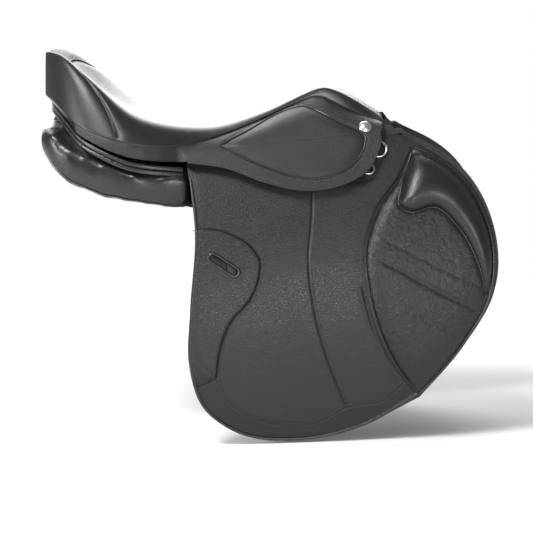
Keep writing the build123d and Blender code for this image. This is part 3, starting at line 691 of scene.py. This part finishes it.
# %% Outlines of pad and roll
PAD_NOSE = [(268, -344), (332, -281), (376, -215), (386, -150), (360, -66), (318, -25), (303, -17)]
PAD_SEAM = [(303, -17), (279, -52), (242, -90), (217, -141), (214, -192), (226, -264), (251, -321), (268, -344)]
CREASE = [(297, -21), (274, -66), (268, -88), (278, -97), (315, -96), (344, -130), (362, -179), (368, -216)]
ROLL_NOSE = [(368, -216), (381, -185), (383, -150), (371, -96), (345, -52), (316, -29), (297, -21)]
PAD_HEIGHT, PAD_EDGE, ROLL_HEIGHT = 10.5, 1.8, 16.5
pad_nose, pad_seam = curve(drawn(PAD_NOSE, 4)), curve(drawn(PAD_SEAM, 4))
crease, roll_nose = curve(drawn(CREASE, 12)), curve(drawn(ROLL_NOSE, 12))
pad_outline, roll_outline = joined(pad_nose, pad_seam), joined(crease, roll_nose)
quilt_1 = np.array([(227, 167), (262, 192), (306, 223), (347, 249)]) * down
quilt_2 = np.array([(228, 136), (270, 164), (318, 196), (362, 222)]) * down
quilt_3 = np.array([(262, 243), (285, 257), (323, 283)]) * down


def pad_face(points):
    """Height of the knee pad's face, in millimetres."""
    near_nose, near_seam = distance_to(points, pad_nose), distance_to(points, pad_seam)
    z = PAD_FACE + PAD_EDGE + PAD_HEIGHT * (1 - np.exp(-near_nose / 13)) * (1 - np.exp(-near_seam / 7))
    z += groove(points, quilt_1, 1.7, 3.4) + groove(points, quilt_2, 0.7, 3.4) + groove(points, quilt_3, 0.7, 3.4)
    return z + groove(points, crease, 2.5, 3.0)


def roll_face(points):
    near_crease, near_nose = distance_to(points, crease), distance_to(points, roll_nose)
    bulge = (1 - np.exp(-near_crease / 9)) * (1 - np.exp(-near_nose / 15))
    return pad_face(points) + ROLL_HEIGHT * bulge


# %% The pad
flat, faces = cut(pad_outline, 3.6, [quilt_1, quilt_2, quilt_3])
points, faces = slab(flat, faces, pad_face(flat), np.full(len(flat), PAD_FACE))
pad = both_sides("knee_pad_leather", points, faces, [pad_leather], rim=0.9)

# %% The roll
flat, faces = cut(roll_outline, 3.0)
points, faces = slab(flat, faces, roll_face(flat), pad_face(flat) - 1.2)
roll = both_sides("knee_roll_leather", points, faces, [roll_leather], rim=0.6)
piping = both_sides("knee_piping", *together(
    tube(raised(shifted(pad_nose, 1.0), 0.3), 2.3),
    tube(raised(shifted(crease, 0.0), lambda p: pad_face(p) + 0.8), 1.2)), [rolled_leather])
rows = [shifted(quilt_1, 1.6), shifted(quilt_2, 1.6), shifted(pad_nose, 5.5)]
pad_sewing = both_sides("knee_stitches", *sewn(rows, pad_face, 0.2), [thread])
for side in SIDES:
    for piece in (pad, roll, piping, pad_sewing):
        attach(piece[side], f"{side}_flap")
    for piece, replaced, fill in ((pad[side], "knee_pad", 0.6), (roll[side], "knee_roll", 0.8)):
        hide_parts(f"{side}_{replaced}")
print("knee pad and roll")

# %% [markdown]
# ## The seat
# The seat is foam under one soft hide, drawn tight from the pommel to the cantle and sewn down along both
# sides. The CAD model gives its stations; a subdivision surface runs a smooth skin through them.


# %% Stations of a lofted CAD part
SEAT_LENGTH = 458.0
SHARES = (-0.55, -0.525, -0.50, -0.47, -0.45, -0.435, -0.40, -0.35, -0.295, -0.25, -0.20, -0.15, -0.10, -0.05,
          0.0, 0.05, 0.10, 0.15, 0.20, 0.24, 0.27, 0.30, 0.34, 0.38, 0.415, 0.445, 0.45)   # of SEAT_LENGTH
ON_STATION = 0.12    # a point this near a station, in millimetres, belongs to it


def stations_of(name):
    """Where the part was lofted: its points across, as rows of y and highest z, in millimetres."""
    co, found = np.array([v.co for v in nodes[name].data.vertices]) * 1000, []
    for share in SHARES:
        x, best = share * SEAT_LENGTH, {}
        for y, z in co[np.abs(co[:, 0] - x) < ON_STATION][:, 1:]:
            best[round(y * 10)] = max(best.get(round(y * 10), -1e9), z)
        if len(best) >= 5:
            found.append((x, np.array(sorted(best)) / 10, np.array([best[k] for k in sorted(best)])))
    return found


ACROSS = 25
grid = []
SEAT_STATIONS = [row for row in stations_of("seat_cover") if len(row[1]) >= 23]
for x, ys, zs in SEAT_STATIONS:
    half = ys.max()
    y = half * np.sin(np.linspace(-math.pi / 2, math.pi / 2, ACROSS))
    grid.append(np.column_stack([np.full(ACROSS, x), y, np.interp(y, ys, zs)]))
grid = np.array(grid)
# The foam settles a little along both rims of the dish, so that its floor shows from the side. SETTLE is a share
# of the rim's height, RIM_AT a share of the half width. Behind DISH_END nothing settles.
SETTLE, RIM_AT, DISH_END, DISH_BLEND = 0.75, 0.7, -195.0, 70.0
for row in grid:
    half = row[:, 1].max()
    t = np.abs(row[:, 1]) / (RIM_AT * half)
    rise = np.interp(RIM_AT * half, row[:, 1], row[:, 2]) - row[ACROSS // 2, 2]
    weight = np.where(t <= 1, 3 * t**2 - 2 * t**3, 1 - np.clip((t - 1) * RIM_AT / (1 - RIM_AT), 0, 1) ** 1.7)
    in_dish = ease(row[0, 0] - DISH_END, DISH_BLEND)
    row[:, 2] -= SETTLE * in_dish * max(rise, 0) * weight
print("seat stations", grid.shape)

# %% The seat's skin, turned down all round
# Along the sides it tucks under. Round the cantle it runs on down to the upper welt, as one skin.
WELT_PLAN = [(-245, 0), (-239, 50), (-220, 93), (-199, 118), (-169, 134), (-137, 141)]
WELT_TOP = [(-252, 106), (-247, 104), (-234, 96), (-206, 68), (-169, 47), (-137, 34), (-92, 26), (-55, 22)]
UNDER = [(0.6, 2.0, 0.06), (1.5, 5.0, 0.38), (3.5, 10.0, 0.76), (5.0, 14.0, 1.0)]   # in, down, share of the wall
CANTLE_MIDDLE = np.array((-150.0, 0.0))
WALL_FROM, WALL_BLEND = -172.0, 26.0    # the skin turns from a tucked side to the cantle's wall here
plan = curve(WELT_PLAN)
plan = np.vstack([plan[::-1] * (1, -1), plan[1:]])
bearing = np.arctan2(plan[:, 1], -(plan[:, 0] - CANTLE_MIDDLE[0]))


def welt_top(x):
    """Height of the upper welt's top at x."""
    xs, zs = np.array(WELT_TOP).T
    return np.interp(x, xs, zs)


rows, across = grid.shape[:2]
points = list(grid.reshape(-1, 3))
faces = [(i * across + j, (i + 1) * across + j, (i + 1) * across + j + 1, i * across + j + 1)
         for i in range(rows - 1) for j in range(across - 1)]
ring = [(0, j) for j in range(across)] + [(i, across - 1) for i in range(1, rows)]
ring += [(rows - 1, j) for j in range(across - 2, -1, -1)] + [(i, 0) for i in range(rows - 2, 0, -1)]
last = [i * across + j for i, j in ring]
for inward, fall, share in UNDER:
    fresh = []
    for i, j in ring:
        p = grid[i, j]
        to_middle = np.array((-0.3 * p[0], -p[1], 0.0))
        tucked = p + inward * to_middle / (np.linalg.norm(to_middle) + 1e-9) + (0, 0, -fall)
        angle = math.atan2(p[1], -(p[0] - CANTLE_MIDDLE[0]))
        on_plan = np.array([np.interp(angle, bearing, plan[:, k]) for k in (0, 1)])
        on_plan += 4.0 * (CANTLE_MIDDLE - on_plan) / np.linalg.norm(CANTLE_MIDDLE - on_plan)
        low_point = np.array((*on_plan, min(welt_top(on_plan[0]) - 0.5, p[2] - 3)))
        wall = p + share * (low_point - p)
        rear = ease(np.array(WALL_FROM - p[0]), WALL_BLEND)
        fresh.append(len(points))
        points.append(tucked + rear * (wall - tucked))
    for k in range(len(ring)):
        m = (k + 1) % len(ring)
        faces.append((last[m], last[k], fresh[k], fresh[m]))
    last = fresh
seat = mesh_object("seat_leather", np.array(points) / 1000, [f[::-1] for f in faces], [seat_leather])
edit(seat, bpy.ops.mesh.normals_make_consistent, inside=False)
modify(seat, "SUBSURF", levels=3, render_levels=3)
highest = max(seat.data.polygons, key=lambda p: p.center.z)
if highest.normal.z < 0:
    edit(seat, bpy.ops.mesh.flip_normals)
print("seat", len(seat.data.polygons), "faces")


# %% Seams pressed into a mesh
def refine(piece, line, reach, times=1):
    """Splits the faces near a plan line, so that a narrow seam can be pressed there."""
    for _ in range(times):
        data = bmesh.new()
        data.from_mesh(piece.data)
        co = np.array([v.co for v in data.verts]) * 1000
        near = distance_to(co, line) < reach
        edges = [e for e in data.edges if near[e.verts[0].index] and near[e.verts[1].index]]
        bmesh.ops.subdivide_edges(data, edges=edges, cuts=1, use_grid_fill=True)
        data.to_mesh(piece.data)
        data.free()


def press(piece, line, depth, width):
    """Moves the points near a plan line inwards."""
    co = np.array([v.co for v in piece.data.vertices])
    normal = np.array([v.normal for v in piece.data.vertices])
    d = distance_to(co * 1000, line)
    co += normal * (-0.001 * depth * np.exp(-(d / width) ** 2))[:, None]
    piece.data.vertices.foreach_set("co", co.ravel())
    piece.data.update()


HALF_U = [(-148, 128), (-163, 108), (-190, 85), (-205, 62), (-219, 30)]
U_SEAM = HALF_U + [(-222, 0)] + [(x, -y) for x, y in HALF_U[::-1]]
u_seam = curve(U_SEAM)
refine(seat, u_seam, 9, 2)
for depth, width in ((1.1, 6.0), (1.5, 1.3)):    # the hide dips towards the seam, and the seam is a groove in it
    press(seat, u_seam, depth, width)
smooth_shade(seat, 80)
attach(seat, "root")
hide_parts("seat_cover", "cantle_cover", "seat_foam")


# %% Piping that lies on a finished piece
def laid_on(piece, line, lift_mm, down_ray=False):
    """The line's points moved onto the piece's surface, and lifted off it, in millimetres."""
    bpy.context.view_layer.update()
    found = []
    for p in line:
        if down_ray:
            hit, place, normal, _ = piece.ray_cast(Vector((p[0] / 1000, p[1] / 1000, 0.4)), Vector((0, 0, -1)))
        else:
            hit, place, normal, _ = piece.closest_point_on_mesh(Vector(p) / 1000)
        if hit:
            found.append(np.array(place + normal * lift_mm / 1000) * 1000)
    return np.array(found)


welt = laid_on(seat, shifted(U_SEAM, -1.8)[1:-1], 0.0, down_ray=True)
points, faces = tube(welt, 0.9)
seat_piping = mesh_object("seat_seam_piping", points / 1000, faces, [rolled_leather])
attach(seat_piping, "root")

# %% [markdown]
# ## The skirts
# A skirt is one stiff pebbled leather, sewn to the side of the seat. It covers the stirrup bar and can be
# lifted on the line where the flap folds. Its middle has a padded insert with piping. It is drawn as columns,
# each running down from the seat's seam, over the fold line and on to the hem, and it is split at that line
# into an upper and a lower part.

# %% The two edges that the skirt hangs between
SKIRT_FACE, SKIRT, INSERT, TAIL_DROP = 13.5, 5.0, 3.4, 2.6
FOLD_START = -2.0    # where along the pattern the fold begins, at the flap's rear edge
seat_edge = to_pattern([(x / 1000, ys[0] / 1000, zs[0] / 1000) for x, ys, zs in SEAT_STATIONS])
foot = to_pattern([(x / 1000, ys[0] / 1000, (zs[0] - TAIL_DROP) / 1000)
                   for x, ys, zs in stations_of("right_skirt_top") if x < -60])
foot = np.vstack([foot, [(FOLD_START, -8.5, SKIRT_FACE)]])
HEM = [(-2, -2), (45, -14), (96, -39), (141, -54), (189, -55), (235, -38), (258, -6), (265, 19)]
hem = curve(drawn(HEM, SKIRT_FACE))
print("seat edge", len(seat_edge), "points, skirt foot", len(foot))


def height_of(points):
    """Height in the side view of pattern points (along, up, out)."""
    p = np.array(points, float)
    return (RADIUS + p[:, 2]) * np.sin(SPLAY + p[:, 1] / RADIUS) - RADIUS * math.sin(SPLAY)


def side_line(points, offset):
    """A smooth line in the side view (along, height) from points along and down the flap's curve."""
    p = np.array(points, float)
    return curve(np.column_stack([p[:, 0], height_of(np.column_stack([p[:, 0], -p[:, 1], [offset] * len(p)]))]))


FOLD_HEIGHT = height_of([(0, 0, SKIRT_FACE)])[0]
INSERT_TOP = [(47, -9), (58, -14), (84, -23), (110, -33), (136, -43), (154, -48), (167, -49), (177, -44),
              (192, -33), (205, -23), (219, -12), (233, -2), (238, 6)]
INSERT_LOW = [(238, 6), (234, 19), (225, 32), (212, 43), (192, 51), (167, 54), (143, 50), (121, 42), (97, 29),
              (74, 14), (54, -2), (47, -9)]
insert_outline = joined(side_line(INSERT_TOP, 14), side_line(INSERT_LOW, 14))


# %% Columns of the skirt
def skirt_column(a, count=17):
    """Pattern points of one column, from the seat's seam to the fold line, and on down to the hem."""
    head = np.array([np.interp(a, seat_edge[:, 0], seat_edge[:, k]) for k in (1, 2)]) - (0.5, 1.5)
    end = np.array([np.interp(a, foot[:, 0], foot[:, k]) for k in (1, 2)])
    on_fold = 1.0 if a >= FOLD_START - 0.001 else 0.0
    end = np.array((0.0, SKIRT_FACE)) if on_fold else end
    chord = end - head
    across = np.array((chord[1], -chord[0]))
    across *= 1 if across[1] > 0 else -1
    start_way = chord + 0.3 * across
    end_way = chord + on_fold * (np.linalg.norm(chord) * np.array((-1.0, 0.0)) - chord)
    t = np.linspace(0, 1, count)[:, None]
    upper = ((2 * t**3 - 3 * t**2 + 1) * head + (t**3 - 2 * t**2 + t) * start_way
             + (3 * t**2 - 2 * t**3) * end + (t**3 - t**2) * end_way)
    bottom = np.interp(a, hem[:, 0], hem[:, 1]) if a >= FOLD_START else 0.0
    if bottom > 0:      # at the front corner the hem runs up past the fold line
        places = np.interp(np.linspace(upper[0, 0], bottom, count)[::-1], upper[::-1, 0], np.arange(count)[::-1])
        upper = np.column_stack([np.interp(places[::-1], np.arange(count), upper[:, k]) for k in (0, 1)])
    lower = np.column_stack([np.linspace(0, min(bottom, 0.0), count), np.full(count, SKIRT_FACE)])
    return [np.column_stack([np.full(count, a), part]) for part in (upper, lower)]


def puff(points):
    """Lifts the padded insert off the skirt, and presses the seam round it."""
    p = points.reshape(-1, 3).copy()
    view = np.column_stack([p[:, 0], height_of(p)])
    d = distance_to(view, closed(insert_outline))
    within = inside(view, insert_outline)
    p[:, 2] += np.where(within, INSERT * (1 - np.exp(-(d / 6) ** 1.5)), 0) - 1.0 * np.exp(-(d / 1.7) ** 2)
    return p.reshape(points.shape)


def sheet_of(columns):
    """Faces between neighbouring columns of points."""
    n, m = columns.shape[:2]
    faces = [(i * m + j, i * m + j + 1, (i + 1) * m + j + 1, (i + 1) * m + j)
             for i in range(n - 1) for j in range(m - 1)]
    return columns.reshape(-1, 3), faces


tail_end, front_end = max(seat_edge[0, 0], foot[0, 0]) + 1, 264.8
places = np.unique(np.concatenate([np.arange(tail_end, FOLD_START, 2.6), np.linspace(FOLD_START, front_end, 104)]))
columns = [skirt_column(a, 25) for a in places]
upper = puff(np.array([c[0] for c in columns]))
has_lower = (places >= FOLD_START) & (np.interp(places, hem[:, 0], hem[:, 1]) < -0.3)
lower = puff(np.array([c[1] for c, kept in zip(columns, has_lower) if kept]))
skirt_parts = {"skirt_top_leather": sheet_of(upper), "skirt_leather": sheet_of(lower)}
skirt = {}
for name, (points, faces) in skirt_parts.items():
    skirt[name] = both_sides(name, points, faces, [skirt_leather])
    for piece in skirt[name].values():
        modify(piece, "SOLIDIFY", thickness=(SKIRT - 1) / 1000, offset=-1.0)
        modify(piece, "BEVEL", width=0.0008, segments=2, limit_method="ANGLE", angle_limit=RIM_ANGLE)
        smooth_shade(piece)
print("skirt columns", len(columns))


# %% Piping and stitches of the skirt
def from_side(pieces, line, lift_mm):
    """A side-view line (along, height) thrown onto the nearest of the pieces, as points in millimetres."""
    bpy.context.view_layer.update()
    found = []
    for a, h in line:
        start = Vector((ORIGIN + a * AXES[0] + 200 * AXES[1] + h * AXES[2]) / 1000)
        hits = [p.ray_cast(start, Vector(-AXES[1])) for p in pieces]
        hits = [(place - start).length for hit, place, *_ in hits if hit]
        if hits:
            found.append(np.array(start) * 1000 - AXES[1] * (min(hits) * 1000 - lift_mm))
    return np.array(found)


def split_at_fold(line, closed):
    """Runs of a side-view line above and below the fold line."""
    above = line[:, 1] > FOLD_HEIGHT
    if closed:
        turn = next(i for i in range(len(line)) if above[i] != above[i - 1])
        line, above = np.roll(line, -turn, 0), np.roll(above, -turn)
    runs = {True: [], False: []}
    start = 0
    for i in range(1, len(line) + 1):
        if i == len(line) or above[i] != above[start]:
            runs[bool(above[start])].append(line[start:min(i + 1, len(line))])
            start = i
    return runs


right_skirt = [skirt[name]["right"] for name in skirt_parts]
around = split_at_fold(insert_outline, True)
hem_view = np.column_stack([hem[:, 0], height_of(np.column_stack([hem, [SKIRT_FACE] * len(hem)]))])
hem_row = split_at_fold(shifted(hem_view, 4.5)[2:-1], False)
insert_row = split_at_fold(shifted(insert_outline, 3.2), False)
strips = {}
for name, above in (("skirt_top", True), ("skirt", False)):
    cords = [tube(from_side(right_skirt, run, 0.5), 1.15) for run in around[above] if len(run) > 3]
    sewn = [stitches(from_side(right_skirt, run, 0.15)) for row in (hem_row, insert_row) for run in row[above]
            if len(run) > 4]
    strips[f"{name}_piping"] = both_sides(f"{name}_piping", *together(*cords), [rolled_leather], flat=False)
    strips[f"{name}_stitches"] = both_sides(f"{name}_stitches", *together(*sewn), [thread], flat=False)
for side in SIDES:
    for piece in (skirt["skirt_top_leather"], strips["skirt_top_piping"], strips["skirt_top_stitches"]):
        bend(piece[side])
    for piece in (skirt["skirt_leather"], strips["skirt_piping"], strips["skirt_stitches"]):
        bend(piece[side])
    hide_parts(f"{side}_skirt_top")
    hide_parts(f"{side}_skirt", f"{side}_skirt_insert")
print("skirts")

# %% [markdown]
# ## Panels and cantle welts
# The panels are long stuffed cushions that rest on the horse. The right one starts from its CAD solid: a voxel
# remesh gives it an even skin, smoothing rounds it, and a cloth simulation with air pressure fills it. The left
# one is its mirror image.


# %% A padded copy of a CAD part
def clean_copy(node_name, name):
    """A merged copy of a CAD node, as a new piece."""
    made = nodes[node_name].copy()
    made.data = nodes[node_name].data.copy()
    for key in list(made.keys()):
        del made[key]
    made.parent = None
    made.name = made.data.name = name
    bpy.context.scene.collection.objects.link(made)
    edit(made, bpy.ops.mesh.remove_doubles, threshold=0.00002)
    return made


def rounded(node_name, name, voxel, passes, material, swell):
    """A CAD solid with an even, smoothed skin, swollen by that many millimetres."""
    made = clean_copy(node_name, name)
    modify(made, "REMESH", mode="VOXEL", voxel_size=voxel / 1000)
    modify(made, "SMOOTH", factor=0.5, iterations=passes)
    modify(made, "DISPLACE", strength=swell / 1000, mid_level=0.0)
    made.data.materials.clear()
    made.data.materials.append(material)
    return smooth_shade(made, 80)


PUMP_FRAMES = 20


def pump(piece, pressure, cap):
    """Fills a cushion by cloth simulation, and moves no point further than cap, in millimetres."""
    before = np.array([v.co for v in piece.data.vertices])
    choose(piece)
    made = piece.modifiers.new("cloth", "CLOTH")
    made.settings.use_pressure, made.settings.uniform_pressure_force = True, pressure
    made.settings.effector_weights.gravity = 0
    made.settings.quality = 4
    made.point_cache.frame_start, made.point_cache.frame_end = 1, PUMP_FRAMES
    for number in range(1, PUMP_FRAMES + 1):
        bpy.context.scene.frame_set(number)
    bpy.ops.object.modifier_apply(modifier=made.name)
    bpy.context.scene.frame_set(1)
    after = np.array([v.co for v in piece.data.vertices])
    move = after - before
    size = np.linalg.norm(move, axis=1) + 1e-12
    after = before + move * np.minimum(1, cap / 1000 / size)[:, None]
    piece.data.vertices.foreach_set("co", after.ravel())
    piece.data.update()


panel = {"right": rounded("right_panel", "right_panel_leather", 5.0, 30, panel_leather, swell=2.0)}
pump(panel["right"], 3.0, 4.0)
modify(panel["right"], "SUBSURF", levels=1, render_levels=1)
smooth_shade(panel["right"], 80)


def mirror_copy(piece, name):
    """The left-hand twin of a right-hand piece, with its own mesh."""
    made = piece.copy()
    made.data = piece.data.copy()
    made.name = made.data.name = name
    bpy.context.scene.collection.objects.link(made)
    for v in made.data.vertices:
        v.co.y = -v.co.y
    made.data.flip_normals()
    return made


panel["left"] = mirror_copy(panel["right"], "left_panel_leather")
for side in SIDES:
    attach(panel[side], "root")
    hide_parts(f"{side}_panel")
print("panel", len(panel["right"].data.polygons), "faces")

# %% Gusset seam along the lower edge of each panel
GUSSET = [(-240, -112, 30), (-215, -128, 6), (-169, -131, -13), (-131, -133, -22), (-89, -132, -30),
          (-50, -128, -37), (-9, -128, -52), (50, -131, -77), (110, -134, -103), (165, -134, -110),
          (196, -130, -94)]
line = laid_on(panel["right"], curve(GUSSET, 3.0), 0.2)
gusset = both_sides("panel_piping", *tube(line, 1.5), [rolled_leather], flat=False)
row = laid_on(panel["right"], curve(np.array(GUSSET) + (0, -4, 4.5), 3.0), 0.2)
gusset_sewing = both_sides("panel_stitches", *stitches(row), [thread], flat=False)
for side in SIDES:
    for piece in (gusset, gusset_sewing):
        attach(piece[side], "root")

# %% Rolled welts round the cantle
for name in ("upper_cantle_welt", "lower_cantle_welt"):
    made = rounded(name, f"{name}_leather", 1.3, 8, rolled_leather, swell=0.3)
    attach(made, "root")
    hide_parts(name)
print("welts")

# %% [markdown]
# ## What stays as the CAD model made it
# Metal, wood and plain straps already have their true shape, so they only get their material. The first line
# that matches counts, because a ring's chape has ring in its name too.

# %% Materials of the CAD parts
FINISHES = ((strap_leather, "chape girth_strap"), (foam, "foam"), (webbing, "web"),
            (spring, "spring gullet_plate cantle_plate"), (forged, "catch stirrup_bar rivet"),
            (nickel, "nail _ring"), (beech, "tree_frame"), (panel_leather, "lining"),
            (seat_leather, "cantle_cover"), (skirt_leather, "facing"))
for name, o in nodes.items():
    finish = next((m for m, parts in FINISHES if any(part in name for part in parts.split())), flap_leather)
    o.data.materials.clear()
    o.data.materials.append(finish)
print(sorted(n for n, o in nodes.items() if not o.hide_render))
